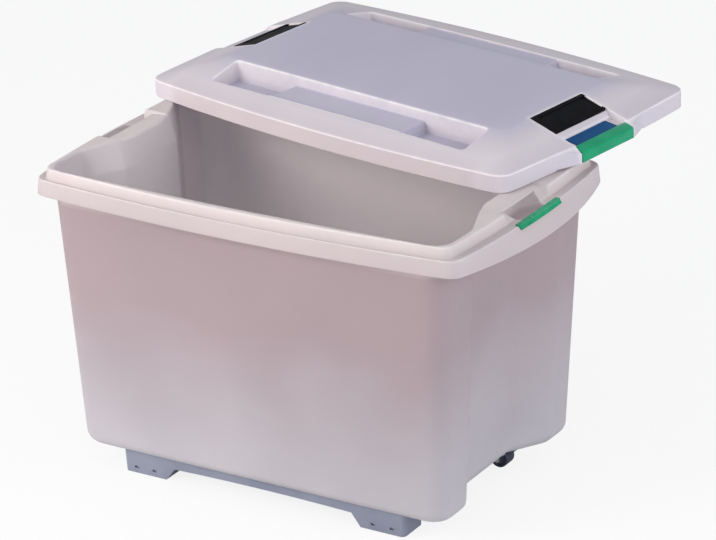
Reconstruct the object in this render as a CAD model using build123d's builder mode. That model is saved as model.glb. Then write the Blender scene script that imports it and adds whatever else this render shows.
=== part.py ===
from build123d import *
import os
from math import atan2, cos, radians, sin, tan

# Wheeled catering storage bin: a drafted translucent tub with a flanged rim and two
# hand-hole handles, two snap-on skids and two tilting wheels under it, and a
# hipped lift-off lid with stacking troughs, label holders and colour clips.
# Frame: X along the long sides, Y from front to back, Z up, origin on the floor
# under the centre of the tub. Millimetres throughout.

# ---- driving dimensions: rim and tub ----
rim_length = 600.0          # over the rim at mid-width, handles not counted
rim_width = 400.0           # over the rim at mid-length
rim_top = 404.0             # top of the rim bead above the floor
rim_corner = 20.0           # corner radius of the rim's outside
side_bow = 16.0             # how far the long sides swell beyond their corners
end_bow = 7.0               # how far the ends swell beyond their corners
bead_height = 14.0          # bead above the ledge that carries the lid
bead_draft = 2.0            # the bead's outer face leans in by this much
skirt_height = 22.0         # rim skirt below the ledge
handle_reach = 29.0         # how far each handle bulges beyond the rim at its lower edge
ledge_reach = 11.0          # the same at the ledge
corner_reach = 6.0          # share of that reach that the ends' corners have too
tub_wall = 3.0
end_overhang = 18.0         # rim outside to tub wall outside at the ends
side_overhang = 13.0        # the same on the long sides
side_draft = 20.5           # each long wall leans in by this much down to the floor
end_draft = 16.0            # the same for each end wall
tub_bow = 4.0               # how far the tub's long walls swell
tub_corner_top = 32.0
tub_corner_bottom = 24.0
tub_base_radius = 16.0      # rounding where the walls meet the floor
gusset_thickness = 3.0
gusset_drop = 12.0          # gusset's root below the skirt
gusset_inset = 103.0        # rim's long side to the gusset

# ---- driving dimensions: end recess, handle notch and hand hole ----
recess_depth_top = 30.0
recess_depth_bottom = 29.4
recess_flat_half = 58.0     # half-width of the recess's flat panel
recess_shoulder = 90.0      # rim's long side to the outer end of the slanted facets
mouth_flat_half = 32.0      # the same two at the rim's inner edge
mouth_shoulder = 88.0
mouth_end_overhang = 18.0   # rim outside to the mouth's edge at the ends
mouth_side_overhang = 16.0  # the same on the long sides
mouth_corner = 28.0
notch_half = 53.0           # half-width of the dip over each handle
notch_lip_inset = 47.0      # rim outside to the top of the dip's slope
notch_lip_drop = 1.0        # that top below the bead's top
notch_knee_inset = 19.0     # rim outside to where the slope steepens
notch_knee_drop = 3.5       # that knee below the bead's top
hole_inner_half = 40.0      # half-width of the hand hole at its tub side
hole_outer_half = 26.0      # and at its bar side
hole_inner_inset = 19.0     # rim outside to the hole's tub side
hole_outer_reach = 7.5      # rim outside to the hole's bar side
hole_corner = 2.5

# ---- driving dimensions: skids ----
skid_height = 30.0
skid_depth = 45.0           # front to back
skid_inset = 11.5           # tub's bottom edge to the skid's outer face
foot_inset = 61.0           # tub's bottom end to the foot's outer edge
foot_length = 62.0
foot_draft = 2.0
bar_height = 11.0           # bar between the feet, at mid-length
bar_end_height = 13.0
arch_shoulder = 13.0        # length of the slope from foot to bar
skid_wall = 3.0
skid_radius = 6.0
window_pitch = 27.0         # between the two snap windows in each face of a foot
window_length = 6.0
window_height = 3.4
window_level = 8.0          # window's middle above the floor
latch_length = 5.0
latch_thickness = 2.5
latch_barb = 1.6

# ---- driving dimensions: wheels ----
wheel_width = 20.0
wheel_clear = 2.5           # wheel above the floor while the bin stands on its skids
wheel_inset = 54.0          # tub's bottom end to the axle
wheel_spread = 78.0         # centre plane to the middle of each wheel
wheel_room = 0.85           # wheel to the bracket's plate above it
wheel_dish = 2.0
wheel_tread = 3.0           # rim of the wheel outside its dish
wheel_hub_radius = 5.0
axle_radius = 2.5
axle_head_radius = 4.0
axle_head = 1.5
bracket_plate = 1.6
bracket_length = 26.0
bracket_lip = 5.0           # plate beyond each ear, held by the tub's rails
ear_thickness = 3.0
ear_radius = 6.5
ear_root = 20.0             # ear length where it meets the plate
rail_thickness = 2.0
rail_hook = 3.0

# ---- driving dimensions: lid ----
lid_wall = 2.5
lid_skirt = 23.0            # skirt below the lid's upper edge
lid_rise = 20.5             # plateau above the lid's upper edge
plateau_end_inset = 71.0    # horizontal run of the end slopes
plateau_side_inset = 95.0   # horizontal run of the side slopes
plateau_corner = 12.0
trough_clear = 2.0          # pocket beyond a skid foot on each side
pocket_extra = 35.0         # extra pocket length towards the middle
stack_gap = 1.0             # a stacked tub's floor above the plateau
bar_gap = 2.0               # a stacked skid's bar above the trough between the pockets
pocket_radius = 5.0
channel_half = 52.0         # half-width of the sloping channel in each end
channel_head_inset = 32.0   # lid's end to the top of the channel's steep head
channel_foot_inset = 26.0   # lid's end to the bottom of the head
channel_foot_drop = 3.0     # channel floor there, below the lid's upper edge
channel_bend_drop = 6.2     # channel floor at the lid's end, where it tips down
tab_reach = 9.5             # tab beyond the lid's end
tab_half = 54.0
tab_root_half = 88.0
tab_drop = 8.5              # tab's lip below the lid's upper edge
tab_relief = 1.0            # tab's lower edge above the skirt's lower edge
lid_rib_thickness = 2.0
lid_rib_height = 4.0
lid_rib_pitch = 84.0

# ---- driving dimensions: labels, plate and clips ----
holder_length = 103.0
holder_width = 40.0
holder_height = 3.3
holder_base = 1.2
holder_rim = 4.0            # between the tag's groove and the holder's long edges
holder_overlap = 1.5        # how far each rail hides the tag
tag_length = 84.0
tag_thickness = 1.2
plate_half = 40.0           # half-width of the colour plate
plate_length = 22.0
plate_thickness = 1.0
lid_clip_length = 102.0
lid_clip_thickness = 2.0
lid_clip_start_inset = 3.0  # lid's end to the clip's inner edge
lid_clip_drop = 12.0        # clip below the lip's edge
barb_length = 8.0           # snap barb through the tab's lip
barb_height = 2.6
barb_spread = 30.0
barb_drop = 5.0             # barb's middle below the lip's edge
grip_length = 100.0
grip_thickness = 2.0
grip_drop = 3.5             # grip clip below the ledge
grip_leg_thickness = 1.5
grip_leg_half = 20.0        # half-width of its leg through the hand hole
grip_hook = 1.8
grip_hook_height = 1.6

# ---- clearances ----
lid_clearance = 1.0         # lid skirt to rim bead
snug = 0.05                 # between pieces that are clipped together
slide_fit = 0.2             # bracket in its rails, tag in its groove
running = 0.05              # radial, wheel bore to axle
pin_fit = 0.02              # radial, axle to bracket ears
side_play = 0.5             # wheel to each ear
rest_gap = 0.37             # lid skirt above the rim it lies on

# ---- where the lid lies: slid back and turned on the rim ----
lid_x = 4.0
lid_y = 232.5
lid_turn = -9.9             # degrees about Z
lid_lean = 1.25             # degrees, back edge up
lid_list = 0.126            # degrees, right end down
lean_reach = 186.3          # lid's middle to its front skirt where that lies on the rim
list_reach = 235.0          # and along the lid to the same place

# ---- levels and half sizes that follow ----
floor_under = skid_height
floor_top = floor_under + tub_wall
ledge_level = rim_top - bead_height
skirt_level = ledge_level - skirt_height
end_half = rim_length / 2
side_half = rim_width / 2
ledge_width = lid_wall + lid_clearance
bottom_end_half = end_half - end_overhang - end_draft
bottom_side_half = side_half - side_overhang - side_draft
skid_face = bottom_side_half - skid_inset
foot_outer = bottom_end_half - foot_inset
foot_inner = foot_outer - foot_length
foot_middle = (foot_outer + foot_inner) / 2
latch_columns = [
    foot_side * foot_middle + window_side * window_pitch / 2
    for foot_side in (-1, 1)
    for window_side in (-1, 1)
]
plate_bottom = floor_under - snug - bracket_plate
wheel_radius = (plate_bottom - wheel_clear - wheel_room) / 2
axle_x = bottom_end_half - wheel_inset
axle_z = wheel_radius + wheel_clear
ear_outer = wheel_width / 2 + side_play + ear_thickness
bracket_half = ear_outer + bracket_lip
hook_top = plate_bottom - slide_fit
lid_z = (
    rim_top
    + rest_gap
    + lid_skirt
    + lean_reach * sin(radians(lid_lean))
    - list_reach * sin(radians(lid_list))
)
lid_pose = Location((lid_x, lid_y, lid_z), (lid_lean, lid_list, lid_turn), Extrinsic.XYZ)


# ---- outlines shared by several pieces ----
def bowed_outline(half_length, half_width, bow_side, bow_end, corner):
    """Rounded rectangle whose sides and ends swell; the halves are at its middles."""
    corner_x = half_length - bow_end
    corner_y = half_width - bow_side
    with BuildSketch(Plane.XY, mode=Mode.PRIVATE) as outline:
        with BuildLine():
            ThreePointArc((-corner_x, -corner_y), (0, -half_width), (corner_x, -corner_y))
            ThreePointArc((corner_x, -corner_y), (half_length, 0), (corner_x, corner_y))
            ThreePointArc((corner_x, corner_y), (0, half_width), (-corner_x, corner_y))
            ThreePointArc((-corner_x, corner_y), (-half_length, 0), (-corner_x, -corner_y))
        make_face()
        fillet(outline.vertices(), corner)
    return outline.sketch


def end_swell(reach):
    """How far an end that bulges by reach swells beyond its corners."""
    return end_bow + max(reach - corner_reach, 0)


def rim_outline(inset, reach=0.0):
    """The rim's and lid's plan, drawn in by inset, with ends that swell by reach."""
    return bowed_outline(
        end_half - inset + reach,
        side_half - inset,
        side_bow,
        end_swell(reach),
        rim_corner - inset,
    )


def plateau_outline(inset):
    """Edge of the lid's flat top."""
    return bowed_outline(
        end_half - plateau_end_inset - inset,
        side_half - plateau_side_inset - inset,
        2.0,
        1.0,
        plateau_corner - inset,
    )


def recessed_outline(half_length, half_width, corner, depth, flat_half, shoulder_half):
    """Rounded rectangle with bowed long sides and a faceted recess in each end."""
    corner_y = half_width - tub_bow
    recess = half_length - depth
    with BuildSketch(Plane.XY, mode=Mode.PRIVATE) as outline:
        with BuildLine():
            ThreePointArc((-half_length, -corner_y), (0, -half_width), (half_length, -corner_y))
            Polyline(
                (half_length, -corner_y),
                (half_length, -shoulder_half),
                (recess, -flat_half),
                (recess, flat_half),
                (half_length, shoulder_half),
                (half_length, corner_y),
            )
            ThreePointArc((half_length, corner_y), (0, half_width), (-half_length, corner_y))
            Polyline(
                (-half_length, corner_y),
                (-half_length, shoulder_half),
                (-recess, flat_half),
                (-recess, -flat_half),
                (-half_length, -shoulder_half),
                (-half_length, -corner_y),
            )
        make_face()
        ends = outline.vertices().filter_by(lambda v: abs(v.Y) > shoulder_half + 1)
        fillet(ends, corner)
    return outline.sketch


def tub_outline(fraction, inset):
    """Tub wall in plan, inset from its outside: fraction 0 at the floor, 1 at the rim."""
    return recessed_outline(
        end_half - end_overhang - end_draft * (1 - fraction) - inset,
        side_half - side_overhang - side_draft * (1 - fraction) - inset,
        tub_corner_bottom + (tub_corner_top - tub_corner_bottom) * fraction - inset,
        recess_depth_bottom + (recess_depth_top - recess_depth_bottom) * fraction,
        recess_flat_half,
        side_half - recess_shoulder,
    )


def mouth_outline(inset):
    """The rim's inner edge, drawn in by inset."""
    return recessed_outline(
        end_half - mouth_end_overhang - inset,
        side_half - mouth_side_overhang - inset,
        mouth_corner - inset,
        recess_depth_top,
        mouth_flat_half,
        side_half - mouth_shoulder,
    )


def notch_profile(drop):
    """Everything above the dip over a handle, its slope lowered by drop, both ends."""
    with BuildSketch(Plane.XZ, mode=Mode.PRIVATE) as profile:
        with BuildLine():
            Polyline(
                (end_half - notch_lip_inset - tub_wall, rim_top - notch_lip_drop - drop),
                (end_half - notch_lip_inset, rim_top - notch_lip_drop - drop),
                (end_half - notch_knee_inset, rim_top - notch_knee_drop - drop),
                (end_half - ledge_width, ledge_level - drop),
                (end_half - ledge_width, rim_top + tub_wall),
                (end_half - notch_lip_inset - tub_wall, rim_top + tub_wall),
                close=True,
            )
        make_face()
        mirror(about=Plane.YZ)
    return profile.sketch


# ---- hollow under the rim's flange ----
gusset_y = side_half - gusset_inset
gusset_bend = (gusset_y / (side_half - side_bow)) ** 2
gusset_foot = end_half + handle_reach - end_swell(handle_reach) * gusset_bend - tub_wall / 2
gusset_head = end_half + ledge_reach - end_swell(ledge_reach) * gusset_bend - tub_wall / 2
gusset_root = end_half - end_overhang - recess_depth_top

with BuildPart() as gussets:
    with BuildSketch(Plane.XZ.offset(gusset_y)):
        with BuildLine():
            Polyline(
                (gusset_foot, skirt_level),
                (gusset_head, ledge_level - tub_wall / 2),
                (gusset_root, ledge_level - tub_wall / 2),
                (gusset_root, skirt_level - gusset_drop),
                close=True,
            )
        make_face()
        mirror(about=Plane.YZ)
    extrude(amount=gusset_thickness)
    mirror(about=Plane.XZ)

with BuildPart() as flange_hollow:
    with BuildSketch(Plane.XY.offset(skirt_level)):
        add(rim_outline(tub_wall, handle_reach))
    with BuildSketch(Plane.XY.offset(ledge_level - tub_wall)):
        add(rim_outline(tub_wall, ledge_reach))
    loft(ruled=True)
    with BuildSketch(Plane.XY.offset(ledge_level - tub_wall)):
        add(rim_outline(ledge_width + tub_wall))
    with BuildSketch(Plane.XY.offset(rim_top - tub_wall)):
        add(rim_outline(ledge_width + tub_wall + bead_draft))
    loft(ruled=True)
    with BuildSketch(Plane.XY.offset(skirt_level)):
        add(tub_outline(1, 0))
    with BuildSketch(Plane.XY.offset(rim_top)):
        add(mouth_outline(-tub_wall))
    loft(ruled=True, mode=Mode.SUBTRACT)
    with BuildSketch(Plane.XZ):
        add(notch_profile(tub_wall))
    extrude(amount=notch_half + tub_wall, both=True, mode=Mode.SUBTRACT)

# ---- space inside the tub ----
with BuildPart() as tub_space:
    with BuildSketch(Plane.XY.offset(floor_top)):
        add(tub_outline(tub_wall / (skirt_level - floor_under), tub_wall))
    with BuildSketch(Plane.XY.offset(skirt_level)):
        add(tub_outline(1, tub_wall))
    loft(ruled=True)
    base_edges = tub_space.edges().filter_by(lambda e: e.bounding_box().max.Z < floor_top + 0.01)
    fillet(base_edges, tub_base_radius - tub_wall)
    with BuildSketch(Plane.XY.offset(skirt_level)):
        add(tub_outline(1, tub_wall))
    with BuildSketch(Plane.XY.offset(rim_top)):
        add(mouth_outline(0))
    loft(ruled=True)

# ---- snap latches that hold the skids under the tub ----
with BuildPart() as skid_latches:
    catch = window_level + window_height / 2 - slide_fit
    tip = window_level - window_height / 2 + slide_fit
    for wall_y, outward in (
        (skid_face - skid_wall - snug, 1),
        (skid_face - skid_depth + skid_wall + snug, -1),
    ):
        for column in latch_columns:
            with BuildSketch(Plane.YZ.offset(column - latch_length / 2)):
                with BuildLine():
                    Polyline(
                        (wall_y, floor_under + tub_wall / 2),
                        (wall_y, catch),
                        (wall_y + outward * latch_barb, catch),
                        (wall_y, tip),
                        (wall_y - outward * latch_thickness, tip),
                        (wall_y - outward * latch_thickness, floor_under + tub_wall / 2),
                        close=True,
                    )
                make_face()
            extrude(amount=latch_length)
    mirror(about=Plane.XZ)

# ---- rails that hold the wheel brackets, closed at their inner end ----
with BuildPart() as bracket_rails:
    rail_y = bracket_half + slide_fit
    with BuildSketch(Plane.YZ.offset(axle_x - bracket_length / 2 - slide_fit)):
        with BuildLine():
            Polyline(
                (wheel_spread + rail_y, floor_under + tub_wall / 2),
                (wheel_spread + rail_y, hook_top),
                (wheel_spread + rail_y - rail_hook, hook_top),
                (wheel_spread + rail_y - rail_hook, hook_top - rail_thickness),
                (wheel_spread + rail_y + rail_thickness, hook_top - rail_thickness),
                (wheel_spread + rail_y + rail_thickness, floor_under + tub_wall / 2),
                close=True,
            )
        make_face()
        mirror(about=Plane.YZ.offset(wheel_spread))
    extrude(amount=bracket_length + slide_fit)
    with BuildSketch(Plane.YZ.offset(axle_x - bracket_length / 2 - slide_fit)):
        with Locations((wheel_spread, hook_top - rail_thickness)):
            Rectangle(
                2 * (rail_y + rail_thickness),
                floor_under + tub_wall / 2 - hook_top + rail_thickness,
                align=(Align.CENTER, Align.MIN),
            )
    extrude(amount=-rail_thickness)
    mirror(about=Plane.XZ)

# ---- tub ----
with BuildPart() as tub:
    with BuildSketch(Plane.XY.offset(floor_under)):
        add(tub_outline(0, 0))
    with BuildSketch(Plane.XY.offset(skirt_level)):
        add(tub_outline(1, 0))
    loft(ruled=True)
    base_edges = tub.edges().filter_by(lambda e: e.bounding_box().max.Z < floor_under + 0.01)
    fillet(base_edges, tub_base_radius)
    with BuildSketch(Plane.XY.offset(skirt_level)):
        add(rim_outline(0, handle_reach))
    with BuildSketch(Plane.XY.offset(ledge_level)):
        add(rim_outline(0, ledge_reach))
    loft(ruled=True)
    with BuildSketch(Plane.XY.offset(ledge_level)):
        add(rim_outline(ledge_width))
    with BuildSketch(Plane.XY.offset(rim_top)):
        add(rim_outline(ledge_width + bead_draft))
    loft(ruled=True)
    add(flange_hollow.part, mode=Mode.SUBTRACT)
    add(gussets.part)
    add(skid_latches.part)
    add(bracket_rails.part)
    add(tub_space.part, mode=Mode.SUBTRACT)
    with BuildSketch(Plane.XZ):
        add(notch_profile(0))
    extrude(amount=notch_half, both=True, mode=Mode.SUBTRACT)
    with BuildSketch(Plane.XY.offset(skirt_level)) as hand_holes:
        with BuildLine():
            Polyline(
                (end_half - hole_inner_inset, -hole_inner_half),
                (end_half + hole_outer_reach, -hole_outer_half),
                (end_half + hole_outer_reach, hole_outer_half),
                (end_half - hole_inner_inset, hole_inner_half),
                close=True,
            )
        make_face()
        fillet(hand_holes.vertices(), hole_corner)
        mirror(about=Plane.YZ)
    extrude(amount=bead_height + skirt_height, mode=Mode.SUBTRACT)

# ---- skids ----
def skid_profile(inset):
    """Front view of a skid, drawn in by inset and then open upwards."""
    with BuildSketch(Plane.XZ, mode=Mode.PRIVATE) as profile:
        with BuildLine():
            arch_end = foot_inner - arch_shoulder
            arch_level = skid_height - bar_end_height
            Polyline(
                (-arch_end, arch_level),
                (-foot_inner, 0),
                (-foot_outer, 0),
                (-foot_outer - foot_draft, skid_height),
                (foot_outer + foot_draft, skid_height),
                (foot_outer, 0),
                (foot_inner, 0),
                (arch_end, arch_level),
            )
            ThreePointArc(
                (arch_end, arch_level), (0, skid_height - bar_height), (-arch_end, arch_level)
            )
        make_face()
        if inset:
            offset(amount=-inset, kind=Kind.INTERSECTION)
            with Locations((0, skid_height)):
                Rectangle(2 * (foot_outer + foot_draft - inset), 2 * inset + 0.2)
    return profile.sketch


with BuildPart() as front_skid:
    with BuildSketch(Plane.XZ.offset(skid_face)):
        add(skid_profile(0))
    extrude(amount=-skid_depth)
    foot_ends = front_skid.edges().filter_by(
        lambda e: abs(e.center().X) > foot_outer and e.bounding_box().size.Z > skid_height - 0.01
    )
    fillet(foot_ends, skid_radius)
    with BuildSketch(Plane.XZ.offset(skid_face - skid_wall)):
        add(skid_profile(skid_wall))
    extrude(amount=-(skid_depth - 2 * skid_wall), mode=Mode.SUBTRACT)
    with BuildSketch(Plane.XZ.offset(skid_face)):
        with Locations([(column, window_level) for column in latch_columns]):
            Rectangle(window_length, window_height)
    extrude(amount=-skid_depth, mode=Mode.SUBTRACT)

with BuildPart() as rear_skid:
    mirror(front_skid.part, about=Plane.XZ)

# ---- wheels, axles and brackets ----
with BuildPart() as front_wheel:
    with BuildSketch(Plane.XZ.offset(wheel_spread)):
        with Locations((axle_x, axle_z)):
            Circle(wheel_radius)
            Circle(axle_radius + running, mode=Mode.SUBTRACT)
    extrude(amount=wheel_width / 2, both=True)
    tread_edges = front_wheel.edges().filter_by(
        lambda e: abs(e.radius - wheel_radius) < 0.01 if e.geom_type == GeomType.CIRCLE else False
    )
    fillet(tread_edges, 1.5)
    for face_y in (wheel_spread - wheel_width / 2, wheel_spread + wheel_width / 2 - wheel_dish):
        with BuildSketch(Plane.XZ.offset(face_y)):
            with Locations((axle_x, axle_z)):
                Circle(wheel_radius - wheel_tread)
                Circle(wheel_hub_radius, mode=Mode.SUBTRACT)
        extrude(amount=wheel_dish, mode=Mode.SUBTRACT)

with BuildPart() as rear_wheel:
    mirror(front_wheel.part, about=Plane.XZ)

with BuildPart() as front_axle:
    with BuildSketch(Plane.XZ.offset(wheel_spread)):
        with Locations((axle_x, axle_z)):
            Circle(axle_radius)
    extrude(amount=ear_outer + snug, both=True)
    for face_y in (wheel_spread + ear_outer + snug, wheel_spread - ear_outer - snug - axle_head):
        with BuildSketch(Plane.XZ.offset(face_y)):
            with Locations((axle_x, axle_z)):
                Circle(axle_head_radius)
        extrude(amount=axle_head)

with BuildPart() as rear_axle:
    mirror(front_axle.part, about=Plane.XZ)

with BuildPart() as front_wheel_bracket:
    with BuildSketch(Plane.XY.offset(plate_bottom)):
        with Locations((axle_x, -wheel_spread)):
            Rectangle(bracket_length, 2 * bracket_half)
    extrude(amount=bracket_plate)
    for face_y in (wheel_spread + ear_outer, wheel_spread - ear_outer + ear_thickness):
        with BuildSketch(Plane.XZ.offset(face_y)):
            with Locations((axle_x, axle_z)):
                Circle(ear_radius)
            with Locations((axle_x, plate_bottom)):
                Rectangle(ear_root, 0.5, align=(Align.CENTER, Align.MIN))
            make_hull()
            with Locations((axle_x, axle_z)):
                Circle(axle_radius + pin_fit, mode=Mode.SUBTRACT)
        extrude(amount=-ear_thickness)

with BuildPart() as rear_wheel_bracket:
    mirror(front_wheel_bracket.part, about=Plane.XZ)

# ---- grip clip over the right handle's bar ----
grip_level = ledge_level + snug + grip_thickness
hole_bar_x = end_half + hole_outer_reach
hook_root = ledge_level - tub_wall - snug
hook_sag = end_swell(handle_reach) * (grip_leg_half / (side_half - side_bow)) ** 2
hook_run = hole_outer_reach + grip_hook + hook_sag + 2 * snug - ledge_reach + tub_wall
hook_tip = hook_root - hook_run * (skirt_height - tub_wall) / (handle_reach - ledge_reach)

with BuildPart() as grip_clip:
    with BuildSketch(Plane.XY.offset(skirt_level)):
        add(rim_outline(-snug - grip_thickness, handle_reach))
    with BuildSketch(Plane.XY.offset(ledge_level)):
        add(rim_outline(-snug - grip_thickness, ledge_reach))
    loft(ruled=True)
    with BuildSketch(Plane.XY.offset(ledge_level)):
        add(rim_outline(-snug - grip_thickness, ledge_reach))
    extrude(amount=snug + grip_thickness)
    with BuildSketch(Plane.XY.offset(skirt_level)):
        add(rim_outline(-snug, handle_reach))
    with BuildSketch(Plane.XY.offset(ledge_level)):
        add(rim_outline(-snug, ledge_reach))
    loft(ruled=True, mode=Mode.SUBTRACT)
    with BuildSketch(Plane.XY.offset(ledge_level)):
        add(rim_outline(-snug, ledge_reach))
    extrude(amount=snug, mode=Mode.SUBTRACT)
    with BuildSketch(Plane.XY.offset(ledge_level - grip_drop)):
        with Locations((hole_bar_x - snug - grip_leg_thickness, 0)):
            Rectangle(2 * handle_reach, grip_length, align=(Align.MIN, Align.CENTER))
    extrude(amount=grip_level - ledge_level + grip_drop, mode=Mode.INTERSECT)
    with BuildSketch(Plane.XZ.offset(-grip_leg_half)):
        with BuildLine():
            Polyline(
                (hole_bar_x - snug - grip_leg_thickness, grip_level),
                (hole_bar_x - snug - grip_leg_thickness, hook_tip - grip_hook_height),
                (hole_bar_x, hook_tip - grip_hook_height),
                (hole_bar_x + grip_hook, hook_tip),
                (hole_bar_x - snug, hook_root),
                (hole_bar_x - snug, grip_level),
                close=True,
            )
        make_face()
    extrude(amount=2 * grip_leg_half)

# ---- lid, modelled about the middle of its upper edge and then set down ----
lid_slope = atan2(lid_rise, plateau_end_inset)
plateau_end = end_half - plateau_end_inset
plateau_side = side_half - plateau_side_inset
seat_drop = holder_height / cos(lid_slope)
head_x = end_half - channel_head_inset
head_level = lid_rise * channel_head_inset / plateau_end_inset - seat_drop
channel_x = end_half - channel_foot_inset
lip_x = end_half + tab_reach
trough_y = skid_face - skid_depth / 2
trough_depth = skid_depth + 2 * trough_clear
pocket_outer = foot_outer + foot_draft + trough_clear
pocket_inner = foot_inner - pocket_extra
pocket_level = lid_rise + stack_gap - skid_height
trough_level = pocket_level + skid_height - bar_end_height - bar_gap


def end_profile(lower):
    """Everything above the label seat and the channel at the lid's right end."""
    with BuildSketch(Plane.XZ, mode=Mode.PRIVATE) as profile:
        with BuildLine():
            Polyline(
                (plateau_end - lower, lid_rise - seat_drop - lower),
                (head_x - lower / 2, head_level - lower),
                (channel_x - lower / 2, -channel_foot_drop - lower),
                (end_half, -channel_bend_drop - lower),
                (lip_x, -tab_drop - lower),
                (lip_x + 10, -tab_drop - 7 - lower),
                (lip_x + 10, 2 * lid_rise),
                (plateau_end - lower, 2 * lid_rise),
                close=True,
            )
        make_face()
    return profile.sketch


with BuildPart() as lid_tab:
    with BuildSketch(Plane.YZ.offset(end_half - lid_wall)):
        with Locations((0, 0)):
            Rectangle(
                2 * tab_root_half, lid_skirt - tab_relief, align=(Align.CENTER, Align.MAX)
            )
    with BuildSketch(Plane.YZ.offset(lip_x)):
        with Locations((0, -tab_drop)):
            Rectangle(
                2 * tab_half,
                lid_skirt - tab_relief - tab_drop,
                align=(Align.CENTER, Align.MAX),
            )
    loft(ruled=True)
    mirror(about=Plane.YZ)

with BuildPart() as lid_space:
    with BuildSketch(Plane.XY.offset(-lid_skirt)):
        add(rim_outline(lid_wall))
    extrude(amount=lid_skirt - lid_wall)
    with BuildSketch(Plane.XY.offset(-lid_wall)):
        add(rim_outline(lid_wall))
    with BuildSketch(Plane.XY.offset(lid_rise - lid_wall)):
        add(plateau_outline(0))
    loft(ruled=True)
    for end in (-1, 1):
        with BuildSketch(Plane.YZ.offset(end * (end_half - 2 * lid_wall))):
            with Locations((0, -lid_wall)):
                Rectangle(2 * tab_root_half, lid_skirt, align=(Align.CENTER, Align.MAX))
        with BuildSketch(Plane.YZ.offset(end * (lip_x - lid_wall))):
            with Locations((0, -tab_drop - lid_wall)):
                Rectangle(2 * tab_half, lid_skirt - tab_drop, align=(Align.CENTER, Align.MAX))
        loft(ruled=True)
    with BuildSketch(Plane.XZ):
        add(end_profile(lid_wall))
        mirror(about=Plane.YZ)
    extrude(amount=channel_half + lid_wall, both=True, mode=Mode.SUBTRACT)
    with BuildSketch(Plane.XY.offset(trough_level - lid_wall)):
        with Locations((0, -trough_y), (0, trough_y)):
            RectangleRounded(
                2 * (pocket_outer + lid_wall), trough_depth + 2 * lid_wall, pocket_radius + lid_wall
            )
    extrude(amount=2 * lid_rise, mode=Mode.SUBTRACT)
    with BuildSketch(Plane.XY.offset(pocket_level - lid_wall)):
        with GridLocations(pocket_outer + pocket_inner, 2 * trough_y, 2, 2):
            RectangleRounded(
                pocket_outer - pocket_inner + 2 * lid_wall,
                trough_depth + 2 * lid_wall,
                pocket_radius + lid_wall,
            )
    extrude(amount=2 * lid_rise, mode=Mode.SUBTRACT)
    with BuildSketch(Plane.XY.offset(lid_rise - lid_wall - lid_rib_height)):
        with GridLocations(lid_rib_pitch, 0, 5, 1):
            Rectangle(lid_rib_thickness, 2 * (trough_y - trough_depth / 2))
    extrude(amount=2 * lid_rise, mode=Mode.SUBTRACT)

with BuildPart() as flat_lid:
    with BuildSketch(Plane.XY.offset(-lid_skirt)):
        add(rim_outline(0))
    extrude(amount=lid_skirt)
    with BuildSketch(Plane.XY):
        add(rim_outline(0))
    with BuildSketch(Plane.XY.offset(lid_rise)):
        add(plateau_outline(0))
    loft(ruled=True)
    add(lid_tab.part)
    add(lid_space.part, mode=Mode.SUBTRACT)
    with BuildSketch(Plane.XZ):
        add(end_profile(0))
        mirror(about=Plane.YZ)
    extrude(amount=channel_half, both=True, mode=Mode.SUBTRACT)
    with BuildSketch(Plane.XY.offset(trough_level)):
        with Locations((0, -trough_y), (0, trough_y)):
            RectangleRounded(2 * pocket_outer, trough_depth, pocket_radius)
    extrude(amount=2 * lid_rise, mode=Mode.SUBTRACT)
    with BuildSketch(Plane.XY.offset(pocket_level)):
        with GridLocations(pocket_outer + pocket_inner, 2 * trough_y, 2, 2):
            RectangleRounded(pocket_outer - pocket_inner, trough_depth, pocket_radius)
    extrude(amount=2 * lid_rise, mode=Mode.SUBTRACT)
    with BuildSketch(Plane.YZ.offset(lip_x - 2 * lid_wall)):
        with Locations((-barb_spread, -tab_drop - barb_drop), (barb_spread, -tab_drop - barb_drop)):
            Rectangle(barb_length + 2 * slide_fit, barb_height + 2 * slide_fit)
    extrude(amount=3 * lid_wall, mode=Mode.SUBTRACT)

with BuildPart() as lid:
    with Locations(lid_pose):
        add(flat_lid.part)

# ---- label holder and tag on each end slope of the lid ----
seat_middle = plateau_end + (holder_width / 2 + snug) * cos(lid_slope)
seat_plane = Plane(
    origin=(
        seat_middle,
        0,
        lid_rise - seat_drop - (seat_middle - plateau_end) * lid_rise / plateau_end_inset,
    ),
    x_dir=(cos(lid_slope), 0, -sin(lid_slope)),
    z_dir=(sin(lid_slope), 0, cos(lid_slope)),
)
groove_half = holder_width / 2 - holder_rim
tag_width = 2 * (groove_half - slide_fit)

with BuildPart() as flat_holder:
    with BuildSketch(seat_plane.offset(snug)):
        RectangleRounded(holder_width, holder_length, 2.0)
    extrude(amount=holder_height - snug)
    with BuildSketch(seat_plane.offset(holder_base)):
        with Locations((0, -tag_length / 2)):
            Rectangle(2 * groove_half, holder_length, align=(Align.CENTER, Align.MIN))
    extrude(amount=tag_thickness + slide_fit, mode=Mode.SUBTRACT)
    with BuildSketch(seat_plane.offset(holder_base)):
        with Locations((0, -tag_length / 2)):
            Rectangle(
                2 * (groove_half - holder_overlap),
                holder_length,
                align=(Align.CENTER, Align.MIN),
            )
    extrude(amount=holder_height, mode=Mode.SUBTRACT)

with BuildPart() as flat_tag:
    with BuildSketch(seat_plane.offset(holder_base + snug)):
        Rectangle(tag_width, tag_length - slide_fit)
    extrude(amount=tag_thickness)

with BuildPart() as right_label_holder:
    with Locations(lid_pose):
        add(flat_holder.part)

with BuildPart() as flat_left_holder:
    mirror(flat_holder.part, about=Plane.YZ)

with BuildPart() as left_label_holder:
    with Locations(lid_pose):
        add(flat_left_holder.part)

with BuildPart() as right_label_tag:
    with Locations(lid_pose):
        add(flat_tag.part)

with BuildPart() as flat_left_tag:
    mirror(flat_tag.part, about=Plane.YZ)

with BuildPart() as left_label_tag:
    with Locations(lid_pose):
        add(flat_left_tag.part)

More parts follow.
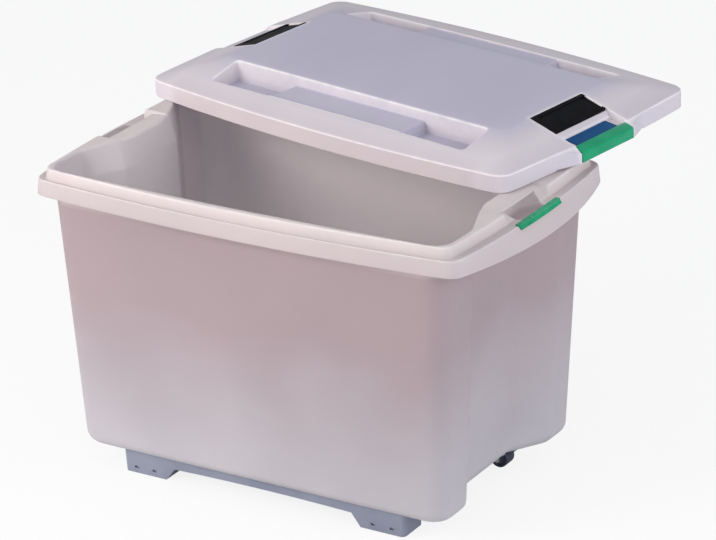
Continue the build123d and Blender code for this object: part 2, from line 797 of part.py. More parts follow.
# ---- colour plate on the right channel's floor and the clip over its lip ----
channel_slope = atan2(channel_bend_drop - channel_foot_drop, channel_foot_inset)
plate_middle = channel_x + plate_length / 2 * cos(channel_slope) + 1
floor_plane = Plane(
    origin=(plate_middle, 0, -channel_foot_drop - (plate_middle - channel_x) * tan(channel_slope)),
    x_dir=(cos(channel_slope), 0, -sin(channel_slope)),
    z_dir=(sin(channel_slope), 0, cos(channel_slope)),
)

with BuildPart() as flat_plate:
    with BuildSketch(floor_plane.offset(snug)):
        RectangleRounded(plate_length, 2 * plate_half, 2.0)
    extrude(amount=plate_thickness)

with BuildPart() as colour_plate:
    with Locations(lid_pose):
        add(flat_plate.part)

clip_start = end_half - lid_clip_start_inset
clip_over = (2 * snug + plate_thickness) / cos(channel_slope)
start_level = -channel_foot_drop - (clip_start - channel_x) * tan(channel_slope)
bend_level = -channel_bend_drop
clip_face = lip_x + snug

with BuildPart() as flat_clip:
    with BuildSketch(Plane.XZ):
        with BuildLine():
            Polyline(
                (clip_start, start_level + clip_over),
                (end_half, bend_level + clip_over),
                (clip_face, -tab_drop + snug),
                (clip_face, -tab_drop - lid_clip_drop),
                (clip_face + lid_clip_thickness, -tab_drop - lid_clip_drop),
                (clip_face + lid_clip_thickness, -tab_drop + lid_clip_thickness),
                (end_half + lid_clip_thickness / 2, bend_level + clip_over + lid_clip_thickness),
                (clip_start, start_level + clip_over + lid_clip_thickness),
                close=True,
            )
        make_face()
    extrude(amount=lid_clip_length / 2, both=True)
    with BuildSketch(Plane.YZ.offset(clip_face)):
        with Locations((-barb_spread, -tab_drop - barb_drop), (barb_spread, -tab_drop - barb_drop)):
            Rectangle(barb_length, barb_height)
    extrude(amount=-lid_wall / 2)

with BuildPart() as lid_clip:
    with Locations(lid_pose):
        add(flat_clip.part)

# ---- the pieces, one file each ----
os.makedirs("parts", exist_ok=True)

tub.part.label = "tub"
export_step(tub.part, "parts/tub.step")
front_skid.part.label = "front_skid"
export_step(front_skid.part, "parts/front_skid.step")
rear_skid.part.label = "rear_skid"
export_step(rear_skid.part, "parts/rear_skid.step")
front_wheel_bracket.part.label = "front_wheel_bracket"
export_step(front_wheel_bracket.part, "parts/front_wheel_bracket.step")
rear_wheel_bracket.part.label = "rear_wheel_bracket"
export_step(rear_wheel_bracket.part, "parts/rear_wheel_bracket.step")
front_axle.part.label = "front_axle"
export_step(front_axle.part, "parts/front_axle.step")
rear_axle.part.label = "rear_axle"
export_step(rear_axle.part, "parts/rear_axle.step")
front_wheel.part.label = "front_wheel"
export_step(front_wheel.part, "parts/front_wheel.step")
rear_wheel.part.label = "rear_wheel"
export_step(rear_wheel.part, "parts/rear_wheel.step")
grip_clip.part.label = "grip_clip"
export_step(grip_clip.part, "parts/grip_clip.step")
lid.part.label = "lid"
export_step(lid.part, "parts/lid.step")
lid_clip.part.label = "lid_clip"
export_step(lid_clip.part, "parts/lid_clip.step")
colour_plate.part.label = "colour_plate"
export_step(colour_plate.part, "parts/colour_plate.step")
left_label_holder.part.label = "left_label_holder"
export_step(left_label_holder.part, "parts/left_label_holder.step")
right_label_holder.part.label = "right_label_holder"
export_step(right_label_holder.part, "parts/right_label_holder.step")
left_label_tag.part.label = "left_label_tag"
export_step(left_label_tag.part, "parts/left_label_tag.step")
right_label_tag.part.label = "right_label_tag"
export_step(right_label_tag.part, "parts/right_label_tag.step")
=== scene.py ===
# %% [markdown]
# # A wheeled storage bin with a lift-off lid
# The real bin is moulded in four kinds of plastic: a frosted tub, a satin lid, two grey
# skids and a few glossy colour clips. The CAD model already holds every piece in its
# true place, so this file only has to give the big soft mouldings their rounded edges
# and every piece its finish. Nothing is fitted or moved: all lengths below are in the
# CAD model's own frame, X along the bin, Y to the back and Z up.

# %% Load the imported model
import bpy
import numpy as np
from math import cos, radians, sin, tan
from mathutils import Matrix, Vector


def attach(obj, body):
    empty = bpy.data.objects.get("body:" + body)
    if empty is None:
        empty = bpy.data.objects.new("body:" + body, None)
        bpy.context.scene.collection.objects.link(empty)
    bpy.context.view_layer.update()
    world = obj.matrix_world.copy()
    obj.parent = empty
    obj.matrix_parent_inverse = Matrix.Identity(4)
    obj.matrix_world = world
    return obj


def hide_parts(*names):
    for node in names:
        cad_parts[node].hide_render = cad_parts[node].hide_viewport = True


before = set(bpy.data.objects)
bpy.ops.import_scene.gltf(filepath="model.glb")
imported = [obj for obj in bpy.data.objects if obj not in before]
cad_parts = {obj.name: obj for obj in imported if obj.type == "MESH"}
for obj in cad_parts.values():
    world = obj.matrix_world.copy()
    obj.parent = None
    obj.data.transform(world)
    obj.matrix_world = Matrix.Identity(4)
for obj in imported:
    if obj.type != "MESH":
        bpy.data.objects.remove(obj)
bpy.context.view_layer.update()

# %% [markdown]
# ## Sheets of rows
# Injection moulding makes walls of one thickness, so each big piece is a sheet: a row of
# points that runs round the piece, repeated level after level. Two helpers are enough.
# One eases the corner where two levels meet, as a mould-maker breaks every sharp edge,
# and one joins neighbouring rows with four-sided faces. A bevel after the fact could do
# the easing too, but it stumbles where a notch or a pocket squeezes the faces together.

# %% Ease the corners of a path of rows
MM = 0.001


def unit(vectors):
    """Each vector divided by its own length."""
    return vectors / np.maximum(np.linalg.norm(vectors, axis=-1, keepdims=True), 1e-9)


def bezier(p0, p1, p2, p3, t):
    """The cubic curve from p0 to p3 whose handles reach to p1 and p2."""
    return (1 - t) ** 3 * p0 + 3 * (1 - t) ** 2 * t * p1 + 3 * (1 - t) * t**2 * p2 + t**3 * p3


def eased_rows(corners, radii, steps=6):
    """Rows (R, S, 3) that follow the corner rows, each corner rounded to its radius.

    With unit directions a into and b out of a corner, the rounding starts
    T = r tan(turn / 2) before it and ends T after it. Between them runs a cubic Bezier
    whose handles are T * 4/3 / (1 + sqrt(1 + tan^2(turn / 2))), which is a circle to
    within a thousandth. One more row lies just outside each end to hold the flat.
    A radius of 0 passes its row through. Returns the rows and where each corner went.
    """
    corners = [np.asarray(c, dtype=float) for c in corners]
    rows, places = [corners[0]], [0]
    for k in range(1, len(corners) - 1):
        p = corners[k]
        if radii[k] == 0:
            places.append(len(rows))
            rows.append(p)
            continue
        before, after = p - corners[k - 1], corners[k + 1] - p
        room_before = np.linalg.norm(before, axis=-1) * (0.9 if radii[k - 1] == 0 else 0.46)
        room_after = np.linalg.norm(after, axis=-1) * (0.9 if radii[k + 1] == 0 else 0.46)
        a, b = unit(before), unit(after)
        cosine = np.clip((a * b).sum(-1), -0.98, 1.0)
        half_tangent = np.sqrt((1 - cosine) / (1 + cosine))
        reach = np.maximum(radii[k] * half_tangent, radii[k] / 4)
        reach = np.minimum(reach, np.minimum(room_before, room_after))[:, None]
        handle = reach * 4 / 3 / (1 + np.sqrt(1 + half_tangent[:, None] ** 2))
        hold_before = np.minimum(1.2, 0.4 * np.maximum(room_before[:, None] - reach, 0.02))
        hold_after = np.minimum(1.2, 0.4 * np.maximum(room_after[:, None] - reach, 0.02))
        start, end = p - reach * a, p + reach * b
        rows.append(start - hold_before * a)
        places.append(len(rows) + steps // 2)
        for t in np.linspace(0, 1, steps + 1):
            rows.append(bezier(start, start + handle * a, end - handle * b, end, t))
        rows.append(end + hold_after * b)
    places.append(len(rows))
    rows.append(corners[-1])
    return np.array(rows), places


def band_faces(rows, columns, first=0, closed=True):
    """Faces between row k and row k + 1 of a (rows, columns) sheet, index order
    k, k + 1, then one column on, so the faces look along (row step) x (column step)."""
    index = first + np.arange(rows * columns).reshape(rows, columns)
    on = np.roll(index, -1, axis=1) if closed else index[:, 1:]
    here = index if closed else index[:, :-1]
    quads = np.stack([here[:-1], here[1:], on[1:], on[:-1]], axis=-1)
    return quads.reshape(-1, 4)


def placed(name, data):
    """A new object that holds the data, put into the scene."""
    thing = bpy.data.objects.new(name, data)
    bpy.context.scene.collection.objects.link(thing)
    return thing


def add_piece(name, vertices, faces, body, slot):
    """A smooth-shaded mesh from positions in millimetres, riding on a body."""
    mesh = bpy.data.meshes.new(name)
    mesh.from_pydata((np.asarray(vertices) * MM).tolist(), [], [list(f) for f in faces])
    mesh.polygons.foreach_set("use_smooth", np.ones(len(mesh.polygons), dtype=bool))
    piece = placed(name, mesh)
    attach(piece, body)
    low, high = np.min(vertices, axis=0), np.max(vertices, axis=0)
    print(name, "faces", len(mesh.polygons), "from", low.round(1), "to", high.round(1))
    return piece


def set_attribute(piece, label, values, domain="POINT"):
    """One number for every point or edge of a mesh, for its material or modifiers."""
    attribute = piece.data.attributes.new(label, "FLOAT", domain)
    attribute.data.foreach_set("value", np.asarray(values, dtype=np.float32))


def bell(distance, width):
    """A bell curve, exp(-(distance / width)^2)."""
    return np.exp(-(distance / width) ** 2)


elbow, _ = eased_rows([[[0, 0, 0]], [[9, 0, 0]], [[9, 9, 0]]], [0, 3, 0])
print("a 3 mm elbow passes", elbow[len(elbow) // 2, 0].round(2))


# %% [markdown]
# ## The plan of the bin
# Seen from above, the rim and the lid are rounded rectangles whose sides swell a little,
# which keeps a thin moulded edge from looking hollow. The tub is the same shape with a
# faceted recess let into each end. One formula therefore serves every level of both
# pieces, and because it always uses the same number of points, any two levels join up.

# %% One outline for every level
skin = 0.1
rim_length_half, rim_width_half = 300.0 - skin, 200.0 - skin
rim_corner, corner_reach, side_bow, end_bow = 20.0, 6.0, 16.0, 7.0


def ramp(value, low, high, soft=1.6):
    """0 below low and 1 above high, straight between, its two bends eased: half the
    difference of the hyperbolas sqrt((value - bend)^2 + soft^2), over the width."""
    near = np.sqrt((value - low) ** 2 + soft**2)
    far = np.sqrt((value - high) ** 2 + soft**2)
    return (near - far + high - low) / (2 * (high - low))


def quarter(length, width, bow_side, bow_end, corner, end_y, recess=(0, 58, 110), side=26):
    """A quarter outline from the middle of an end to the middle of a side.

    End: x = length - bow_end (y / yc)^2 - depth (1 - ramp(y)) for y in end_y and on to
    the corner. Side: y = width - bow_side (x / xc)^2. Corner: a cubic Bezier along both
    curves' tangents, its handles 4/3 tan(turn / 4) times the radius.
    """
    xc, yc = length - bow_end, width - bow_side
    end_way = unit(np.array([-2 * bow_end / yc, 1.0]))
    side_way = unit(np.array([-1.0, 2 * bow_side / xc]))
    turn = np.arccos(np.clip(end_way @ side_way, -1, 1))
    reach = corner * np.tan(turn / 2)
    y = np.concatenate([end_y, np.linspace(end_y[-1], yc - reach * end_way[1], 7)[1:]])
    depth, flat, shoulder = recess
    end = np.stack([length - bow_end * (y / yc) ** 2, y], axis=1)
    end[:, 0] -= depth * (1 - ramp(y, flat, shoulder))
    x = np.linspace(xc + reach * side_way[0], 0, side)
    along = np.stack([x, width - bow_side * (x / xc) ** 2], axis=1)
    start_way = unit(np.array([-2 * bow_end * end[-1, 1] / yc**2, 1.0]))
    stop_way = unit(np.array([-1.0, 2 * bow_side * x[0] / xc**2]))
    handle = 4 / 3 * np.tan(turn / 4) * corner
    t = np.linspace(0, 1, 15)[1:-1, None]
    bend = bezier(end[-1], end[-1] + handle * start_way, along[0] - handle * stop_way,
                  along[0], t)
    return np.concatenate([end, bend, along])


def whole(part):
    """The closed outline, counter-clockwise, from one quarter and its mirror images."""
    x, y = part[:, 0], part[:, 1]
    xs = np.concatenate([x, -x[-2::-1], -x[1:], x[-2:0:-1]])
    ys = np.concatenate([y, y[-2::-1], -y[1:], -y[-2:0:-1]])
    return np.stack([xs, ys], axis=1)


def at_level(outline, z):
    """An outline lifted to a level, or to one level per point."""
    return np.column_stack([outline, np.broadcast_to(z, len(outline))])


print("the ramp's middle:", ramp(84.0, 58, 110).round(3))


# %% [markdown]
# ## The tub
# The tub is one 3 mm wall that runs from the floor up the inside, over a raised bead,
# across the ledge that the lid sits on and down a sloping skirt. Drawing only that inner
# and upper face and thickening it afterwards keeps the wall even, as the real one is.
# Over each handle the bead dips away in a notch, and a hand hole goes through the ledge.
# The columns of the sheet crowd together at the notch's sides and lean in towards the
# hole's narrower edge, so both have clean borders without any cutting.

# %% Where the tub's columns stand across an end
stations = np.concatenate([
    [0, 9, 18, 26, 33, 38, 43, 47, 50, 51.4],
    53 + np.array([-1.0, -0.7, -0.4, -0.1, 0.2, 0.5, 0.8, 1.2]),
    [56, 57.2, 58.2, 59.5, 62, 68, 76, 84, 92, 100, 105, 108, 109.4, 110.6, 112, 115, 119],
])
hole_column = 4
hole_near, hole_far = 281.0, 307.5
hole_wide, hole_narrow = 40.0, 26.0
tub_wall, tub_length_half, tub_width_half, tub_bow, tub_corner = 3.0, 282.0, 187.0, 4.0, 32.0
draft_x, draft_y, draft_corner, draft_recess = 16.0, 20.5, 8.0, 0.6
recess_depth, recess_flat, recess_shoulder = 30.0, 58.0, 110.0


def hole_half(x):
    """Half-width of the hand hole at x: 40 mm at its tub side, 26 mm at its bar side,
    and a few millimetres on along the same slope past both."""
    slope = (hole_wide - hole_narrow) / (hole_far - hole_near)
    return hole_wide - slope * (np.clip(x, 272, 311) - hole_near)


def leaning(x):
    """The stations, squeezed or spread so that the hole's column stands on its edge."""
    return np.interp(stations, [0, stations[hole_column], 50, 200], [0, hole_half(x), 50, 200])


def tub_outline(share, inset):
    """The tub's wall drawn in by inset, from its floor (share 0) to its rim (share 1)."""
    down = 1 - share
    return whole(quarter(
        tub_length_half - draft_x * down - inset, tub_width_half - draft_y * down - inset,
        tub_bow, 0, tub_corner - draft_corner * down - inset, stations,
        (recess_depth - draft_recess * down, recess_flat, recess_shoulder),
    ))


def rim_outline(inset, reach, end_y):
    """The rim drawn in by inset, its ends pushed out by reach, and their corners by
    the first 6 mm of it."""
    return whole(quarter(
        rim_length_half - inset + reach, rim_width_half - inset, side_bow,
        end_bow + max(reach - corner_reach, 0), rim_corner - inset, end_y,
    ))


print("points round a level:", len(tub_outline(1, 0)))


# %% The levels from the tub's floor to the foot of its skirt
rim_top, ledge, skirt_foot, floor_top = 404.0, 390.0, 368.0, 33.0
rim_end, bead_inset, bead_foot_inset = 300.0, 5.5, 3.5
ledge_reach, skirt_reach = 11.0, 29.0
notch_x = [253.0, hole_near, rim_end - bead_foot_inset]
notch_z = [rim_top - 1, rim_top - 3.5, ledge]
notch_half, notch_side = 54.2, 2.2


def notched(outline):
    """The outline at the rim's top, but inside a notch no higher than the slope that runs
    from the notch's lip, 1 mm lower, over a knee at the hand hole down to the ledge."""
    x, y = np.abs(outline[:, 0]), np.abs(outline[:, 1])
    slope = np.interp(x, notch_x, notch_z)
    t = np.clip((notch_half - y) / notch_side, 0, 1)
    inside = t * t * (3 - 2 * t)
    return at_level(outline, rim_top - inside * np.maximum(rim_top - slope, 0))


def between(a, b, x_target, share):
    """Points from outline a to outline b: at x_target near an end's middle, and
    elsewhere the given share of the way."""
    x_a, x_b = np.abs(a[:, 0]), np.abs(b[:, 0])
    t = np.where(np.abs(a[:, 1]) < 52, (x_target - x_a) / np.maximum(x_b - x_a, 1), share)
    return a + np.clip(t, 0.05, 0.95)[:, None] * (b - a)


def mouth(x):
    """The rim's inner edge, with the stations as they lean at x."""
    return whole(quarter(
        tub_length_half, tub_width_half - tub_wall, tub_bow, 0, 28, leaning(x),
        (recess_depth, 32, 112),
    ))


near_stations, far_stations = leaning(hole_near), leaning(hole_far)
lip = mouth(tub_length_half - recess_depth)
hole_back = between(mouth(hole_near), rim_outline(bead_inset, 0, near_stations), hole_near, 0.64)
bead_edge = rim_outline(bead_inset, 0, leaning(rim_end - bead_inset))
bead_foot = rim_outline(bead_foot_inset, 0, leaning(rim_end - bead_foot_inset))
hole_front = between(
    rim_outline(bead_foot_inset, 0, far_stations), rim_outline(0, ledge_reach, far_stations),
    hole_far, 0.76,
)
floor_edge = tub_outline(0.01, tub_wall)
levels = [
    at_level(floor_edge * 0.9, floor_top),
    at_level(floor_edge, floor_top),
    at_level(tub_outline(1, tub_wall), skirt_foot),
    notched(lip),
    notched(hole_back),
    notched(bead_edge),
    at_level(bead_foot, ledge),
    at_level(hole_front, ledge),
    at_level(rim_outline(0, ledge_reach, leaning(rim_end + ledge_reach)), ledge),
    at_level(rim_outline(0, skirt_reach, stations), skirt_foot),
]
rows, places = eased_rows(levels, [0, 13, 8, 3.2, 0, 3.2, 1.2, 0, 3.2, 0])
print("levels:", len(levels), "eased into", len(rows), "rows")

# %% [markdown]
# The floor and the tall wall are flat between their eased ends, so a few more rows are
# spread over them: the frosting's tint needs points to change between.

# %% More rows on the floor and the wall
floor_shares = (0.04, 0.3, 0.6)
wall_start = places[1] + 5
wall = [rows[wall_start] + (rows[wall_start + 1] - rows[wall_start]) * t
        for t in np.linspace(0, 1, 12)[1:-1]]
rows = np.concatenate([
    [at_level(floor_edge * share, floor_top) for share in floor_shares],
    rows[: wall_start + 1], wall, rows[wall_start + 1:],
])
added = len(floor_shares) + len(wall)
hole_rows = range(places[4] + added, places[7] + added)
print("tub sheet:", rows.shape, "hole rows", hole_rows)

# %% [markdown]
# Only now do the faces exist, so the hand holes are made by leaving faces out. The wall
# thickness comes from Solidify, and a small Bevel takes the edge off the holes and the
# skirt's foot, the only edges that one face alone uses. Along the sides the bead is
# hardly wider than one wall, so the sheet is thin there and its two walls don't cross.

# %% Build the tub
row_count, column_count = rows.shape[:2]
quads = band_faces(row_count, column_count)
cell_row = np.repeat(np.arange(row_count - 1), column_count)
cell_column = np.tile(np.arange(column_count), row_count - 1)
half_way = column_count // 2
near_right = (cell_column < hole_column) | (cell_column >= column_count - hole_column)
near_left = (cell_column >= half_way - hole_column) & (cell_column < half_way + hole_column)
in_hole = np.isin(cell_row, hole_rows) & (near_right | near_left)
tub_faces = quads[~in_hole].tolist() + [list(range(column_count))]
tub_points = rows.reshape(-1, 3)
tub = add_piece("tub_shell", tub_points, tub_faces, "bin", "tub_plastic")
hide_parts("tub")
row_numbers = np.arange(row_count)
bead_row, ledge_row = places[5] + added, places[8] + added
# Painted highlight: a paler tint along the rows of the bead and the ledge.
tub_edge_highlight = np.maximum(bell(row_numbers - bead_row, 2.0), bell(row_numbers - ledge_row, 2.0))
set_attribute(tub, "edge_highlight", np.repeat(tub_edge_highlight, column_count))

# %% Give the sheet its wall
bead_low, side_y, bead_share = 391.5, 150.0, 0.4
wall_share = tub.vertex_groups.new(name="wall_share")
in_side_bead = (tub_points[:, 2] > bead_low) & (np.abs(tub_points[:, 1]) > side_y)
wall_share.add(np.flatnonzero(~in_side_bead).tolist(), 1.0, "REPLACE")
wall_share.add(np.flatnonzero(in_side_bead).tolist(), bead_share, "REPLACE")
wall_maker = tub.modifiers.new("wall", "SOLIDIFY")
wall_maker.thickness = tub_wall * MM
wall_maker.offset = -1
wall_maker.use_even_offset = True
wall_maker.vertex_group = wall_share.name
print("points where it is thin:", np.count_nonzero(in_side_bead))

# %% Round the open edges
def rounded_edges(piece, width, segments=2, angle=None):
    """A Bevel that rounds the edges sharper than the angle, or the ones with a weight."""
    bevel = piece.modifiers.new("edges", "BEVEL")
    bevel.width = width * MM
    bevel.segments = segments
    bevel.limit_method = "ANGLE" if angle else "WEIGHT"
    if angle:
        bevel.angle_limit = radians(angle)


loop_edges = np.empty(len(tub.data.loops), dtype=np.int32)
tub.data.loops.foreach_get("edge_index", loop_edges)
open_edges = np.bincount(loop_edges, minlength=len(tub.data.edges)) == 1
set_attribute(tub, "bevel_weight_edge", open_edges.astype(float), "EDGE")
rounded_edges(tub, 0.8)
print("open edges:", np.count_nonzero(open_edges))

# %% [markdown]
# ## What hangs under the tub
# Snap latches for the skids, rails for the wheel brackets and four ribs under the rim
# are plain straight mouldings. Each is a closed profile carried in a straight line, so
# one function makes them all, and a small Bevel rounds their edges.

# %% Straight mouldings
def drawn_out(profile, low, high, plane):
    """A closed profile carried from low to high. Planes: "yz" is drawn along X and "zx"
    along Y. Its signed area, half the sum of a1 b2 - a2 b1 round it, tells which way it
    runs, and one that runs backwards is turned round so that its faces look outwards."""
    profile = np.asarray(profile, dtype=float)
    following = np.roll(profile, -1, axis=0)
    area = (profile[:, 0] * following[:, 1] - following[:, 0] * profile[:, 1]).sum() / 2
    if area < 0:
        profile = profile[::-1]
    count = len(profile)
    layers = []
    for place in (low, high):
        flat = np.full(count, float(place))
        if plane == "yz":
            layers.append(np.column_stack([flat, profile]))
        else:
            layers.append(np.column_stack([profile[:, 1], flat, profile[:, 0]]))
    faces = band_faces(2, count)[:, ::-1].tolist()
    faces += [list(range(count))[::-1], list(range(count, 2 * count))]
    return np.concatenate(layers), faces


def together(parts):
    """Several (vertices, faces) as one."""
    vertices, faces, first = [], [], 0
    for part_vertices, part_faces in parts:
        vertices.append(part_vertices)
        faces += [[first + i for i in face] for face in part_faces]
        first += len(part_vertices)
    return np.concatenate(vertices), faces


def mirrored(profile):
    """A (y, z) profile turned over to the other side of the middle."""
    return [(-y, z) for y, z in profile]


box_faces = drawn_out([(0, 0), (1, 0), (1, 1), (0, 1)], 0, 1, "yz")[1]
print("a drawn-out square has", len(box_faces), "faces")


# %% Snap latches for the skids and rails for the wheel brackets
root_z, skid_y, wheel_y = 31.0, 132.5, 78.0
latch_y, latch_wall, latch_half = 19.45, 2.5, 2.5
barb_top, barb_tip, barb_out = 9.5, 6.5, 1.6
rail_y, rail_wall, rail_lip, rail_top, rail_low = 18.7, 2.0, 3.0, 28.15, 26.15
rail_start, rail_end = 198.8, 225.0


def latch(out):
    """Profile of a front latch: a tongue whose barb points outwards or inwards."""
    face, back = out * latch_y - skid_y, out * (latch_y - latch_wall) - skid_y
    return [(face, root_z), (face, barb_top), (face + out * barb_out, barb_top),
            (face, barb_tip), (back, barb_tip), (back, root_z)]


def rail(way):
    """Profile of a rear rail: a wall whose lip at its foot points the given way."""
    wall, back = wheel_y - way * rail_y, wheel_y - way * (rail_y + rail_wall)
    tip = wall + way * rail_lip
    return [(wall, root_z), (wall, rail_top), (tip, rail_top), (tip, rail_low),
            (back, rail_low), (back, root_z)]


parts = []
for profile in (latch(-1), latch(1)):
    for x in (-187.5, -160.5, 160.5, 187.5):
        for turned_over in (profile, mirrored(profile)):
            parts.append(drawn_out(turned_over, x - latch_half, x + latch_half, "yz"))
stop_near, stop_far = wheel_y - rail_y - rail_wall, wheel_y + rail_y + rail_wall
stop = [(stop_near, rail_low), (stop_far, rail_low), (stop_far, root_z), (stop_near, root_z)]
for side in (-1, 1):
    for profile, low, high in ((rail(1), rail_start, rail_end), (rail(-1), rail_start, rail_end),
                               (stop, rail_start - rail_wall, rail_start)):
        parts.append(drawn_out(profile if side > 0 else mirrored(profile), low, high, "yz"))
fittings = add_piece("tub_fittings", *together(parts), "bin", "tub_plastic")
rounded_edges(fittings, 0.3, angle=40)

# %% Ribs under the ends of the rim
rib_zx = [(360, 274), (skirt_foot, 318.2), (388.5, 305.2), (388.5, 276.8)]
rib_wall, rib_places = 3.0, (-100.0, 97.0)
parts = []
for low in rib_places:
    for profile in (rib_zx, [(z, -x) for z, x in rib_zx]):
        parts.append(drawn_out(profile, low, low + rib_wall, "zx"))
ribs = add_piece("rim_ribs", *together(parts), "bin", "tub_plastic")
rounded_edges(ribs, 0.3, angle=40)

# %% [markdown]
# ## The lid
# The lid is a low hipped roof. A trough runs along each side for the skid of a bin
# stacked on top, with a deeper pocket at each end for its foot, and a channel runs down
# each end to a tab. All of that is one height for each place, so the lid's upper face is
# a height function on a grid whose lines crowd where a wall drops, and its lower face is
# the same function with every level a wall lower and every hollow a wall wider.

# %% The roof's height
lid_wall, lid_skirt, lid_rise = 2.5, 23.0, 20.5
lid_length_half, lid_width_half, hip_x, hip_y = 300.0, 200.0, 71.0, 95.0
trough_x, trough_y, trough_half, trough_corner = 209.0, skid_y, 24.5, 5.0
pocket_x, ridge_z, pocket_z = 108.0, 6.5, -8.5
channel_x, channel_half = 229.0, 52.0
step_x, step_z, brink_x, brink_z, tab_x, tab_z = 274.0, -3.0, 300.0, -6.2, 309.5, -8.5
rib_pitch, rib_depth = 84.0, 4.0


def roof(x, y):
    """Height of the hipped roof: 20.5 t, where t grows from 0 at the lid's outline to 1
    at the plateau's and the outline between them runs through (x, y). The t is found by
    halving, and its end at 1 is eased by a hyperbola."""
    def outside(t):
        length, width = lid_length_half - hip_x * t, lid_width_half - hip_y * t
        bow_s, bow_e, corner = side_bow - 14 * t, end_bow - 6 * t, rim_corner - 8 * t
        qx = np.abs(x) - (length - bow_e * (y / (width - bow_s)) ** 2) + corner
        qy = np.abs(y) - (width - bow_s * (x / (length - bow_e)) ** 2) + corner
        beyond = np.hypot(np.maximum(qx, 0), np.maximum(qy, 0))
        return beyond + np.minimum(np.maximum(qx, qy), 0) - corner

    low, high = np.full(x.shape, -0.2), np.full(x.shape, 1.3)
    for _ in range(24):
        middle = (low + high) / 2
        within = outside(middle) < 0
        low, high = np.where(within, middle, low), np.where(within, high, middle)
    return lid_rise * 0.5 * (low + 1 - np.sqrt((low - 1) ** 2 + 0.03**2))


print("the roof rises to", roof(np.zeros(1), np.zeros(1)).round(2))


# %% Walls that drop into a hollow
def sunk(height, floor, inside, wall=0.5, edge=2.6, root=1.6):
    """The height, let down to the floor wherever inside is above 0.

    A quarter circle of radius edge leads over the brink, a wall leans by only half a
    millimetre, and a quarter circle of radius root runs out onto the floor. Where the
    hollow is shallow both radii shrink to 0.45 of its depth.
    """
    depth = np.maximum(height - floor, 0)
    e, r = np.minimum(edge, 0.45 * depth), np.minimum(root, 0.45 * depth)
    a = np.clip(inside + e, 0, e)
    b = np.clip(wall + r - inside, 0, r)
    brink = e - np.sqrt(np.maximum(e**2 - a**2, 0))
    fall = (depth - e - r) * np.clip(inside / wall, 0, 1)
    run_out = np.where(inside >= wall, np.sqrt(np.maximum(r**2 - b**2, 0)), 0)
    return height - brink - fall - run_out


channel_rows, _ = eased_rows(
    [np.array([[x, 0, z]]) for x, z in
     ((200, 25.5), (channel_x, 17.11), (268, 5.85), (step_x, step_z), (brink_x, brink_z),
      (tab_x, tab_z), (330, -22))],
    [0, 0.01, 3, 3, 2, 2, 0],
)


def hollows(x, y, wall=0.0):
    """How far a place lies inside the trough and inside the channel, below 0 outside."""
    ax, ay = np.abs(x), np.abs(y)
    qx, qy = ax - trough_x + trough_corner, np.abs(ay - trough_y) - trough_half + trough_corner
    beyond = np.hypot(np.maximum(qx, 0), np.maximum(qy, 0))
    in_trough = trough_corner + wall - beyond - np.minimum(np.maximum(qx, qy), 0)
    return in_trough, np.minimum(channel_half + wall - ay, ax - channel_x + wall)


def lid_height(x, y, wall=0.0):
    """Upper face for wall 0, and lower face for the wall's thickness."""
    ax, ay = np.abs(x), np.abs(y)
    in_trough, in_channel = hollows(x, y, wall)
    height = roof(x, y) - wall
    if wall:
        nearest = np.abs(ax - rib_pitch * np.round(ax / rib_pitch))
        bump = np.clip((1.4 - nearest) / 0.6, 0, 1) * (ax < 200) * (ay < 130)
        height = height - rib_depth * bump
    trough = sunk(np.full(x.shape, ridge_z - wall), pocket_z - wall, ax - pocket_x + wall)
    height = sunk(height, trough, in_trough)
    floor = np.interp(ax, channel_rows[:, 0, 0], channel_rows[:, 0, 2]) - wall
    return sunk(height, floor, in_channel, wall=0.4, edge=0.9, root=0.6)


def edge_highlight(x, y):
    """Strength of the painted highlight along a brink: a bell curve across each hollow's brink."""
    in_trough, in_channel = hollows(x, y)
    return np.maximum(bell(in_trough + 1.0, 1.1), bell(in_channel + 0.4, 0.8))


print("a pocket's floor lies at", lid_height(np.array([150.0]), np.array([trough_y])).round(2))


# %% [markdown]
# The grid has lines only where something happens. Each wall gets a small crowd of them,
# and the same crowd moves outwards by the wall's thickness for the lower face, so that
# the two faces keep matching points and can be joined round the edge.

# %% Lines of the grid
crowd = np.array([
    -3, -2.5, -2, -1.5, -1, -0.6, -0.25, 0, 0.5, 0.6, 0.85, 1.2, 1.7, 2.2, 3.2, 4.4, 5.8,
])
small_crowd = np.array([-1.1, -0.8, -0.5, -0.25, 0, 0.4, 0.5, 0.7, 1.0, 1.8])
rib_crowd = np.array([-1.5, -1.1, -0.8, 0.8, 1.1, 1.5])


def lines_along(wall):
    """The grid's places along X, for the face that lies the given wall lower."""
    half = np.concatenate([
        [1.1, 1.5, 20, 42, 62], rib_pitch + rib_crowd, pocket_x - wall + crowd, [125, 145],
        2 * rib_pitch + rib_crowd, [182, 195], trough_x + wall - crowd[::-1], [219, 222.5],
        channel_x - wall + small_crowd, [233, 236, 240],
    ])
    return np.concatenate([-half[::-1], [-0.8, 0.8], half])


def lines_across(wall):
    """The grid's places along Y, for the face that lies the given wall lower."""
    half = np.concatenate([
        [12, 24, 34, 42], channel_half + wall - small_crowd[::-1], [60, 69, 78, 84],
        [86.6, 87.4, 88.2, 89, 91, 95, 98, 101], trough_y - trough_half - wall + crowd,
        [117, 123, 130, 138, 146], trough_y + trough_half + wall - crowd[::-1], [164.2],
    ])
    return np.concatenate([-half[::-1], [0], half])


print("grid of", len(lines_along(0.0)), "by", len(lines_across(0.0)), "lines")


def loop_of(grid):
    """The border of a (rows, columns, ...) grid, counter-clockwise from its first row's
    last column."""
    return np.concatenate([grid[:-1, -1], grid[-1, :0:-1], grid[:0:-1, 0], grid[0, :-1]])


# %% [markdown]
# Round this straight grid runs a frame that carries it out to the swelling outline. A
# point on the grid's border goes to the place on the outline level with it, except near
# a corner, where the border's last stretch is spread evenly along the rounded edge.

# %% The frame and the edge
end_count, corner_half_count = 240, 13  # six straight steps and half of the bend
spread_x, spread_y = 200.0, 112.0


